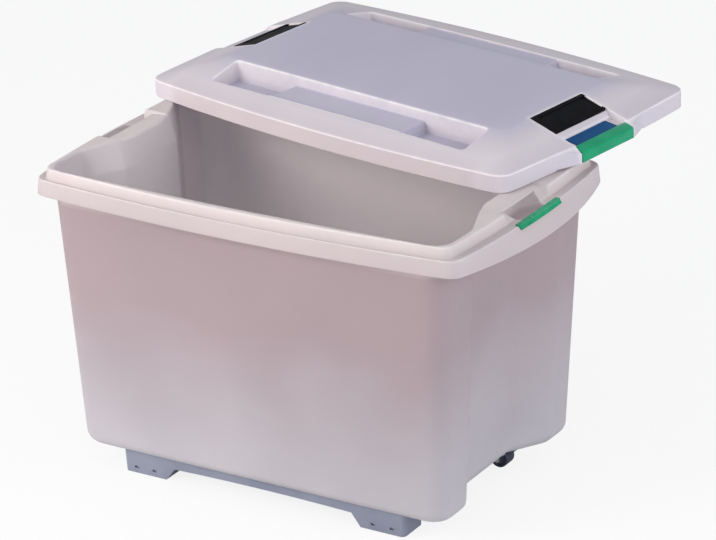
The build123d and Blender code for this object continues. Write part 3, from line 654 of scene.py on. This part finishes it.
def edge_of(along, across, inset):
    """Outline points for the border of the grid, in the border's order. Beyond spread_x
    and spread_y the run round the corner grows evenly up to the corner's middle."""
    part = quarter(
        rim_length_half - inset, rim_width_half - inset, side_bow, end_bow, rim_corner - inset,
        np.linspace(0, 119, end_count), side=400,
    )
    run = np.concatenate([[0], np.cumsum(np.linalg.norm(np.diff(part, axis=0), axis=1))])
    corner_run = run[end_count + corner_half_count]
    border = loop_of(np.stack(np.meshgrid(along, across), axis=-1))
    x, y = np.abs(border).T
    start, stop = np.interp(spread_y, part[:, 1], run), np.interp(-spread_x, -part[:, 0], run)
    share_y = (y - spread_y) / (across[-1] - spread_y)
    share_x = (x - spread_x) / (along[-1] - spread_x)
    by_y = np.where(y > spread_y, start + (corner_run - start) * share_y,
                    np.interp(y, part[:, 1], run))
    by_x = np.where(x > spread_x, stop + (corner_run - stop) * share_x,
                    np.interp(-x, -part[:, 0], run))
    place = np.where(x >= along[-1] - 1e-6, by_y, by_x)
    points = np.stack([np.interp(place, run, part[:, axis]) for axis in (0, 1)], axis=1)
    return points * np.where(border < 0, -1, 1)


print("points round the lid:", len(edge_of(lines_along(0.0), lines_across(0.0), 0.0)))


# %% The tabs
tab_narrow, tab_wide, tab_step, least_drop = 54.0, 88.0, 12.0, 4.0


def tab_of(border, outline):
    """How far the tab pushes the edge out: where its lip stands, how far that drops, and
    its share, 1 on the tab and 0 off it. The tab narrows from 88 to 54 mm of half-width."""
    ax, ay = np.abs(border[:, :2]).T
    out = 1 - np.clip((ay - tab_narrow) / (tab_wide - tab_narrow), 0, 1)
    share = np.where(ax >= ax.max() - 1e-6, np.clip((tab_wide + 0.6 - ay) / 1.2, 0, 1), 0)
    lip = tab_x - tab_step * (1 - out)
    x = np.maximum(np.abs(outline[:, 0]), lip * (share > 0))
    lip_points = np.column_stack([np.sign(outline[:, 0]) * x, outline[:, 1]])
    drop = np.where(share > 0, -tab_z * out, 0)
    return np.where(share[:, None] > 0, lip_points, outline), np.maximum(drop, least_drop), share


# %% One face of the lid
def shell_half(wall, fractions):
    """The grid, the frame's rows and the outline of one face of the lid."""
    along, across = lines_along(wall), lines_across(wall)
    x, y = np.meshgrid(along, across)
    grid = np.stack([x, y, lid_height(x, y, wall)], axis=-1)
    border = loop_of(grid)
    outline = edge_of(along, across, wall)
    frame_rows = []
    for f in fractions:
        plan = border[:, :2] + f * (outline - border[:, :2])
        frame_rows.append(at_level(plan, lid_height(plan[:, 0], plan[:, 1], wall)))
    return grid, frame_rows, outline


fractions = np.array([
    150, 250, 320, 370, 405, 430, 442, 450, 456, 462, 468, 474, 482, 500,
    520, 540, 552, 558, 564, 570, 577, 588, 610, 650, 710, 780, 850, 900,
]) / 1000
top_grid, top_frame, top_edge = shell_half(0.0, fractions)
low_grid, low_frame, low_edge = shell_half(lid_wall, fractions)
print("upper face:", top_grid.shape, "frame rows:", len(top_frame))

# %% [markdown]
# Past the frame the edge turns down into the skirt, round its foot and up its inside to
# the lower face. Across a tab it runs out over the brink of the channel first.

# %% The rows of the edge
lip_out, lip_drop, on_tab = tab_of(loop_of(top_grid), top_edge)
lip_in, _, _ = tab_of(loop_of(low_grid), low_edge)
lip_in[:, 0] -= np.sign(lip_in[:, 0]) * lid_wall * (on_tab > 0)
in_channel = (np.abs(top_edge[:, 1]) < channel_half + 0.2) & (on_tab > 0)
brink = top_edge.copy()
brink[in_channel, 0] = np.sign(top_edge[in_channel, 0]) * brink_x
foot = -lid_skirt + on_tab
edge_corners = [
    top_frame[-1],
    at_level(brink, np.where(in_channel, brink_z, 0.0)),
    at_level(lip_out, -lip_drop),
    at_level(lip_out, foot),
    at_level(lip_in, foot),
    at_level(lip_in, -lip_drop * (on_tab > 0) - lid_wall),
    low_frame[-1],
]
edge_rows, _ = eased_rows(edge_corners, [0, 3.0, 2.4, 0.8, 0.8, 1.5, 0], steps=5)
loop_rows = np.concatenate([top_frame[:-1], edge_rows, low_frame[-2::-1]])
print("frame and edge:", loop_rows.shape)

# %% Join the two faces round the edge
grid_rows, grid_columns = top_grid.shape[:2]
grid_size = grid_rows * grid_columns
loop_length = loop_rows.shape[1]
top_index = np.arange(grid_size).reshape(grid_rows, grid_columns)
low_first = grid_size + loop_rows.shape[0] * loop_length
low_index = low_first + top_index
top_faces = band_faces(grid_rows, grid_columns, 0, closed=False)[:, ::-1]
low_faces = band_faces(grid_rows, grid_columns, low_first, closed=False)
ring_faces = band_faces(loop_rows.shape[0], loop_length, grid_size)
first_row = grid_size + np.arange(loop_length)
last_row = first_row + (loop_rows.shape[0] - 1) * loop_length
top_loop, low_loop = loop_of(top_index), loop_of(low_index)
join_top = np.stack([top_loop, first_row, np.roll(first_row, -1), np.roll(top_loop, -1)], axis=1)
join_low = np.stack([last_row, low_loop, np.roll(low_loop, -1), np.roll(last_row, -1)], axis=1)
lid_vertices = np.concatenate([part.reshape(-1, 3) for part in (top_grid, loop_rows, low_grid)])
lid_faces = np.concatenate([top_faces, ring_faces, join_top, join_low, low_faces]).tolist()
print("lid points:", len(lid_vertices))

# %% [markdown]
# Two numbers ride on each point for the lid's tints. One is how high it lies between
# the skirt's foot and the plateau, and picks a painted shade, darker and bluer higher up; the
# troughs and the lid's ends are counted as high so that they turn as dark as the plateau.
# The other is the strength of a painted highlight along the brinks.

# %% Where the lid's painted shade and painted highlight go
# Painted shade: the share of height picks the lid's tint, darker and bluer towards the plateau.
lid_shade_level = (lid_vertices[:, 2] + lid_skirt) / (lid_skirt + lid_rise)
trough_depth, _ = hollows(top_grid[..., 0].ravel(), top_grid[..., 1].ravel())
# Troughs and pockets count as high, so they take the plateau's darker painted shade.
lid_shade_level[:grid_size] = np.maximum(
    np.interp(lid_vertices[:grid_size, 2], [pocket_z, pocket_z + 2, 0, lid_rise],
              [0.93, 0.56, 0.56, 1.0]),
    np.clip(trough_depth + 0.4, 0, 1),
)
# Painted highlight along the brinks and the lid's top edge, none past the middle of the edge rows.
ring_edge_highlight = np.maximum(
    edge_highlight(loop_rows[..., 0], loop_rows[..., 1]), bell(loop_rows[..., 2] + 0.9, 0.9)
)
ring_edge_highlight[len(top_frame) + len(edge_rows) // 2:] = 0
ring_shade_level = lid_shade_level[grid_size:low_first].reshape(loop_rows.shape[:2])
# Painted shade: the lid's ends count as high, so they take the darker tint too.
end_shade_level = np.interp(np.abs(loop_rows[..., 0]), [235, 270, 310], [0.5, 0.78, 0.94])
np.maximum(ring_shade_level, end_shade_level, out=ring_shade_level)
lid_edge_highlight = np.concatenate([
    edge_highlight(top_grid[..., 0], top_grid[..., 1]).ravel(), ring_edge_highlight.ravel(), np.zeros(grid_size),
])
print("share of height up to", lid_shade_level.max().round(2))

# %% [markdown]
# The lid was drawn lying flat. It lies ajar on the rim, pushed back, turned and leaning
# a little, so its points are turned and moved into that place before the mesh is made:
# the object itself stays at the origin, like every CAD node.

# %% Lay the lid on the rim
lid_lean, lid_list, lid_turn = radians(1.25), radians(0.126), radians(-9.9)
rest_gap, front_touch, left_touch = 0.37, 186.3, 235.0
lid_z = rim_top + rest_gap + lid_skirt + front_touch * sin(lid_lean) - left_touch * sin(lid_list)
lid_middle = np.array([4.0, 232.5, lid_z])
lid_turning = np.array(
    Matrix.Rotation(lid_turn, 3, "Z") @ Matrix.Rotation(lid_list, 3, "Y")
    @ Matrix.Rotation(lid_lean, 3, "X")
)


def laid(points):
    """Points of the flat lid, turned about its middle and moved to where it lies."""
    return np.asarray(points) @ lid_turning.T + lid_middle


lid = add_piece("lid_shell", laid(lid_vertices), lid_faces, "lid_group", "lid_plastic")
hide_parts("lid")
# The level that picks the lid's painted shade.
set_attribute(lid, "painted_shade_level", lid_shade_level)
# Strength of the painted highlight along the lid's brinks.
set_attribute(lid, "edge_highlight", lid_edge_highlight)

# %% [markdown]
# ## The colour clip
# A glossy green clip snaps over the lip of the lid's right tab and marks what the bin
# holds. It is a strip bent over the lip: a closed profile with its bends eased, carried
# along the lip. The CAD clip has the same size with sharp edges, so this one replaces it
# for the highlight that runs along its bend.

# %% Bend the clip over the lip
def eased_profile(points, radii, steps=5):
    """A closed flat profile with eased corners: the path is run once round, starting
    from the middle of its last side."""
    points = np.asarray(points, dtype=float)
    start = (points[-1] + points[0]) / 2
    path = np.concatenate([[start], points, [start]])
    rows, _ = eased_rows([np.array([[a, b, 0.0]]) for a, b in path], [0, *radii, 0], steps)
    return rows[:-1, 0, :2]


clip_wall, clip_gap, clip_lift, clip_half = 2.0, 0.05, 1.1, 51.0
clip_start, clip_foot, clip_x = 297.0, -20.5, tab_x + clip_gap
channel_slope = np.arctan2(step_z - brink_z, brink_x - step_x)
over = clip_lift / cos(channel_slope)
start_z = step_z - (clip_start - step_x) * tan(channel_slope) + over
clip_profile = eased_profile(
    [(start_z, clip_start), (brink_z + over, brink_x), (tab_z + clip_gap, clip_x),
     (clip_foot, clip_x), (clip_foot, clip_x + clip_wall), (tab_z + clip_wall, clip_x + clip_wall),
     (brink_z + clip_wall + over, brink_x + 1), (start_z + clip_wall, clip_start)],
    [0.35, 1.5, 1.2, 0.45, 0.7, 3.6, 4.0, 0.6],
)
clip_vertices, clip_faces = drawn_out(clip_profile, -clip_half, clip_half, "zx")
lid_clip = add_piece(
    "lid_clip_shell", laid(clip_vertices), clip_faces, "lid_group", "green_plastic"
)
rounded_edges(lid_clip, 0.5, segments=3, angle=60)
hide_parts("lid_clip")

# %% [markdown]
# ## Finishes
# Every piece is moulded plastic apart from the two wheel pins, so the finishes differ in
# colour, in how much light gets through and in how polished the mould was. Each one is a
# Principled shader fed by three noises on Object coordinates: a broad one that clouds
# the colour, a middle one that varies the polish, and a fine one for the grain of the
# mould. The big mouldings carry a number for a painted highlight along their brinks, which
# leads to a paler tint, broken up by one more noise, and a painted light and shade by height.

# %% One call for every shader node
def feed(tree, node, inputs):
    """Gives each named input its value, or the socket that it follows."""
    for socket, value in inputs.items():
        if isinstance(value, bpy.types.NodeSocket):
            tree.links.new(value, node.inputs[socket])
        else:
            node.inputs[socket].default_value = value


def added(tree, kind, inputs=None, **settings):
    """A new shader node with its settings and its inputs."""
    node = tree.nodes.new("ShaderNode" + kind)
    for name, value in settings.items():
        setattr(node, name, value)
    feed(tree, node, inputs or {})
    return node


def spread(tree, value, low, high, to_low=0.0, to_high=1.0):
    """The value, moved in a straight line from low..high to to_low..to_high."""
    return added(tree, "MapRange", {
        "Value": value, "From Min": low, "From Max": high, "To Min": to_low, "To Max": to_high,
    }).outputs["Result"]


def mixed(tree, factor, first, second, blend="MIX"):
    """Two tints mixed by a factor, each a (red, green, blue) or a socket."""
    first, second = [(*c, 1) if isinstance(c, tuple) else c for c in (first, second)]
    return added(tree, "Mix", {"Factor": factor, "A": first, "B": second},
                 data_type="RGBA", blend_type=blend).outputs["Result"]


# %% Painted light and shade that change with height
def painted_light_by_height(tree, where, noise, levels, height, wander, inside):
    """Painted light and shade for each place: a tint from (height, tint) pairs.

    The height is Z in metres, or the mesh's own number if one is named. Below 0.3 a
    noise moves it up and down by as much as half of wander. Inside is the tint for the
    faces that look towards the Z axis instead.
    """
    if height:
        level = added(tree, "Attribute", attribute_name=height).outputs["Fac"]
    else:
        level = added(tree, "SeparateXYZ", {"Vector": where.outputs["Object"]}).outputs["Z"]
    moved = added(tree, "Math", {
        0: spread(tree, noise(8, 1), 0.25, 0.75, -wander / 2, wander / 2),
        1: spread(tree, level, 0.22, 0.30, 1.0, 0.0), 2: level,
    }, operation="MULTIPLY_ADD")
    tints = added(tree, "ValToRGB", {"Fac": moved.outputs["Value"]})
    stops = tints.color_ramp.elements
    for index, (place, tint) in enumerate(levels):
        stop = stops[index] if index < 2 else stops.new(place)
        stop.position = place
        stop.color = (*tint, 1)
    if not inside:
        return tints.outputs["Color"]
    flat = added(tree, "VectorMath", {0: where.outputs["Object"], 1: (1, 1, 0)},
                 operation="MULTIPLY")
    facing = added(tree, "VectorMath", {0: flat.outputs["Vector"], 1: where.outputs["Normal"]},
                   operation="DOT_PRODUCT")
    turned_in = spread(tree, facing.outputs["Value"], -0.06, 0.0)
    return mixed(tree, turned_in, inside, tints.outputs["Color"])


# %% One recipe for moulded plastic
def plastic(name, pieces, colour, cloud, polish, cloud_size=9.0, grain=900.0,
            grain_height=0.05, edge=None, levels=(), height=None, wander=0.0, inside=None,
            turn=0.0, streaks=(1, 1, 1), **settings):
    """A moulded plastic, put on meshes and on CAD nodes by name.

    colour and cloud are the two tints that the broad noise mixes, polish is the range
    of roughness, grain and grain_height are the mould's texture and edge is the tint of a
    painted highlight along the brinks, where the mesh has a number for that. Levels, height,
    wander and inside are told at the tints by height above; that tint is painted light and
    shade, and it multiplies the colour. Turn is the noises' angle about Z, and streaks are
    their scales along X, Y and Z.
    """
    material = bpy.data.materials.new(name)
    material.use_nodes = True
    tree = material.node_tree
    shader = tree.nodes["Principled BSDF"]
    feed(tree, shader, {socket.replace("_", " "): value for socket, value in settings.items()})
    where = added(tree, "TexCoord")
    turned = added(tree, "Mapping", {
        "Vector": where.outputs["Object"], "Rotation": (0, 0, turn), "Scale": streaks,
    })

    def noise(size, detail, rough=0.5):
        return added(tree, "TexNoise", {
            "Vector": turned.outputs["Vector"], "Scale": size, "Detail": detail,
            "Roughness": rough,
        }).outputs["Fac"]

    tint = mixed(tree, spread(tree, noise(cloud_size, 3), 0.35, 0.65), colour, cloud)
    # Painted light and shade: the tint by height multiplies the colour.
    if levels:
        shade = painted_light_by_height(tree, where, noise, levels, height, wander, inside)
        tint = mixed(tree, 1.0, tint, shade, "MULTIPLY")
    # Painted highlight: a paler edge tint along the brinks, made patchy by a noise.
    if edge:
        patchy_highlight = added(tree, "Math", {
            0: added(tree, "Attribute", attribute_name="edge_highlight").outputs["Fac"],
            1: spread(tree, noise(60, 4), 0.3, 0.7, 0.45, 0.95),
        }, operation="MULTIPLY")
        tint = mixed(tree, patchy_highlight.outputs["Value"], tint, edge)
    bump = added(tree, "Bump", {
        "Strength": 0.35, "Distance": grain_height * MM, "Height": noise(grain, 2),
    })
    feed(tree, shader, {
        "Base Color": tint, "Normal": bump.outputs["Normal"],
        "Roughness": spread(tree, noise(45, 5, 0.6), 0.3, 0.7, *polish),
    })
    for piece in pieces:
        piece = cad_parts[piece] if isinstance(piece, str) else piece
        piece.data.materials.clear()
        piece.data.materials.append(material)
    print(name, "nodes:", len(tree.nodes), "pieces:", len(pieces))


# %% [markdown]
# The tub is frosted: light comes through it and blurs. Real frosted plastic scatters
# inside the wall, and rough transmission is the cheapest way to show the same thing. Its
# tint by height is painted light and shade: lighter near the floor, darker and pinker up
# the wall, near white at the rim, and lighter on the faces inside. The lid is moulded from
# the same kind of plastic and looks denser, because ribs stand close under it, so its
# shader lets no light through and its tint by height is painted shade instead.

# %% Finish the big mouldings
plastic(
    "frosted tub", (tub, fittings, ribs),
    (0.92, 0.90, 0.91), (0.86, 0.845, 0.86), (0.42, 0.55), cloud_size=5,
    # edge is the tint of the painted highlight on the bead and the ledge.
    grain=1100, grain_height=0.06, edge=(0.98, 0.94, 0.93), wander=0.05,
    # Painted light: the faces inside the tub keep a lighter tint.
    inside=(0.97, 0.92, 0.92),
    # Painted light and shade by height: lighter near the floor, darker and pinker up the wall,
    # near white at the rim.
    Transmission_Weight=0.34, IOR=1.45, levels=(
        (0.03, (0.77, 0.76, 0.79)), (0.10, (0.70, 0.675, 0.705)), (0.25, (0.555, 0.46, 0.48)),
        (0.361, (0.54, 0.44, 0.455)), (0.367, (0.82, 0.745, 0.735)), (0.387, (0.86, 0.78, 0.77)),
        (0.40, (0.98, 0.91, 0.88)),
    ),
)
plastic(
    "satin lid", (lid,),
    (0.92, 0.88, 0.89), (0.87, 0.83, 0.85), (0.46, 0.54), cloud_size=7,
    # edge is the tint of the painted highlight along the lid's brinks.
    grain=1300, grain_height=0.04, edge=(0.93, 0.89, 0.88), turn=-lid_turn,
    # Painted shade by height: skirt and slopes paler and pinker, the plateau darker and bluer.
    streaks=(1, 0.45, 1), Specular_IOR_Level=0.35, height="painted_shade_level", levels=(
        (0.0, (0.83, 0.775, 0.755)), (0.45, (0.82, 0.765, 0.755)), (0.54, (0.76, 0.72, 0.74)),
        (0.68, (0.80, 0.77, 0.79)), (0.85, (0.73, 0.70, 0.735)), (1.0, (0.60, 0.605, 0.70)),
    ),
)

# %% [markdown]
# The small pieces let no light through. The skids and wheels are rubbed dull and the clips
# are glossy. The holders and tags are black, and reflect little or they would look grey.

# %% Finish the small pieces
plastic(
    "grey skids", ("front_skid", "rear_skid"),
    (0.25, 0.275, 0.345), (0.21, 0.235, 0.305), (0.4, 0.58), cloud_size=22,
    grain=1500, grain_height=0.08,
)
plastic(
    "dark brackets", ("front_wheel_bracket", "rear_wheel_bracket"),
    (0.03, 0.035, 0.055), (0.045, 0.05, 0.07), (0.4, 0.6), cloud_size=40,
)
plastic(
    "dark wheels", ("front_wheel", "rear_wheel"),
    (0.012, 0.017, 0.045), (0.03, 0.035, 0.06), (0.35, 0.6), cloud_size=80,
    grain=1800, grain_height=0.1, streaks=(1, 4, 1),
)
plastic(
    "steel pins", ("front_axle", "rear_axle"),
    (0.55, 0.56, 0.58), (0.42, 0.42, 0.44), (0.25, 0.45), cloud_size=160,
    grain=2500, grain_height=0.03, Metallic=1.0,
)
plastic(
    "glossy green", (lid_clip, "grip_clip"),
    (0.012, 0.34, 0.16), (0.008, 0.29, 0.135), (0.22, 0.34), cloud_size=30,
    grain=700, grain_height=0.02, Specular_IOR_Level=0.2,
)
plastic(
    "glossy blue", ("colour_plate",),
    (0.001, 0.07, 0.22), (0.002, 0.08, 0.24), (0.3, 0.4), cloud_size=45,
    grain=700, grain_height=0.02, Specular_IOR_Level=0.1,
)
plastic(
    "black holders", ("left_label_holder", "right_label_holder"),
    (0.003, 0.003, 0.004), (0.007, 0.007, 0.009), (0.42, 0.58), cloud_size=60,
    grain=1400, grain_height=0.06, Specular_IOR_Level=0.05,
)
plastic(
    "matt tags", ("left_label_tag", "right_label_tag"),
    (0.004, 0.004, 0.005), (0.009, 0.009, 0.011), (0.45, 0.7), cloud_size=90,
    grain=420, grain_height=0.25, Specular_IOR_Level=0.06,
)
print("finishes:", len(bpy.data.materials))

# %% [markdown]
# ## The studio
# A pale floor, a white surround that only the camera and reflections see, a large soft
# lamp from the upper left and a weaker one from the right. The camera stands far back
# with a long lens, so the bin's upright edges stay almost parallel.

# %% Floor
size = 14.0
floor_mesh = bpy.data.meshes.new("floor")
floor_mesh.from_pydata(
    [(-size, -size, 0), (size, -size, 0), (size, size, 0), (-size, size, 0)], [], [(0, 1, 2, 3)]
)
floor = placed("floor", floor_mesh)
floor_paint = bpy.data.materials.new("pale floor")
floor_paint.use_nodes = True
floor_tree = floor_paint.node_tree
floor_shader = floor_tree.nodes["Principled BSDF"]
feed(floor_tree, floor_shader, {"Base Color": (0.90, 0.90, 0.90, 1), "Roughness": 0.9})
floor_rays = added(floor_tree, "LightPath")
floor_share = added(floor_tree, "Math", {0: floor_rays.outputs["Is Camera Ray"], 1: 0.85},
                    operation="MULTIPLY")
glow = added(floor_tree, "Emission", {"Color": (1, 1, 1, 1), "Strength": 1.0})
floor_mix = added(floor_tree, "MixShader", {
    "Fac": floor_share.outputs["Value"], 1: floor_shader.outputs["BSDF"],
    2: glow.outputs["Emission"],
})
feed(floor_tree, floor_tree.nodes["Material Output"], {"Surface": floor_mix.outputs["Shader"]})
floor_mesh.materials.append(floor_paint)
print("floor from", -size, "to", size, "m")

# %% Light
world = bpy.data.worlds.new("surround")
world.use_nodes = True
bpy.context.scene.world = world
world_tree = world.node_tree
sky = world_tree.nodes["Background"]
feed(world_tree, sky, {"Color": (0.90, 0.93, 1.0, 1), "Strength": 0.56})
seen = added(world_tree, "Background", {"Color": (1, 1, 1, 1), "Strength": 1.0})
rays = added(world_tree, "LightPath")
either = added(world_tree, "Math", {
    0: rays.outputs["Is Camera Ray"], 1: rays.outputs["Is Transmission Ray"],
}, operation="MAXIMUM")
choice = added(world_tree, "MixShader", {
    "Fac": either.outputs["Value"], 1: sky.outputs["Background"], 2: seen.outputs["Background"],
})
feed(world_tree, world_tree.nodes["World Output"], {"Surface": choice.outputs["Shader"]})


def soft_lamp(name, place, aim, width, power, tint):
    """A square area lamp of the given width that looks at aim."""
    data = bpy.data.lights.new(name, "AREA")
    data.shape = "SQUARE"
    data.size = width
    data.energy = power
    data.color = tint
    lamp = placed(name, data)
    lamp.location = place
    lamp.rotation_euler = (Vector(aim) - Vector(place)).to_track_quat("-Z", "Y").to_euler()
    print(name, "lamp of", power, "W at", place)


soft_lamp("key", (-1.1, -1.75, 1.2), (0, 0, 0.25), 1.2, 34, (1.0, 0.93, 0.90))
soft_lamp("fill", (2.4, -0.3, 1.1), (0, 0, 0.25), 1.6, 26, (0.96, 0.96, 1.0))
bpy.context.scene.view_settings.view_transform = "Standard"

# %% Camera
camera_data = bpy.data.cameras.new("camera")
focal_pixels, view_width, sensor = 3766.5, 716, 36.0
camera_data.sensor_width = sensor
camera_data.lens = focal_pixels / view_width * sensor
camera_data.clip_end = 50.0
camera = placed("camera", camera_data)
azimuth, elevation, roll, distance = 0.553, 0.392, -0.028, 4.7265
target = Vector((0.029135, 0.040127, 0.247469))
back = Vector((
    sin(azimuth) * cos(elevation), -cos(azimuth) * cos(elevation), sin(elevation),
))
forward = -back
right = forward.cross(Vector((0, 0, 1))).normalized()
up = right.cross(forward)
right_rolled = cos(roll) * right + sin(roll) * up
up_rolled = -sin(roll) * right + cos(roll) * up
camera.matrix_world = Matrix.Translation(target + distance * back) @ Matrix(
    (right_rolled, up_rolled, back)
).transposed().to_4x4()
bpy.context.scene.camera = camera
print("lens", round(camera_data.lens, 1), "mm, camera", distance, "m away")

# %% Finish
bpy.context.view_layer.update()
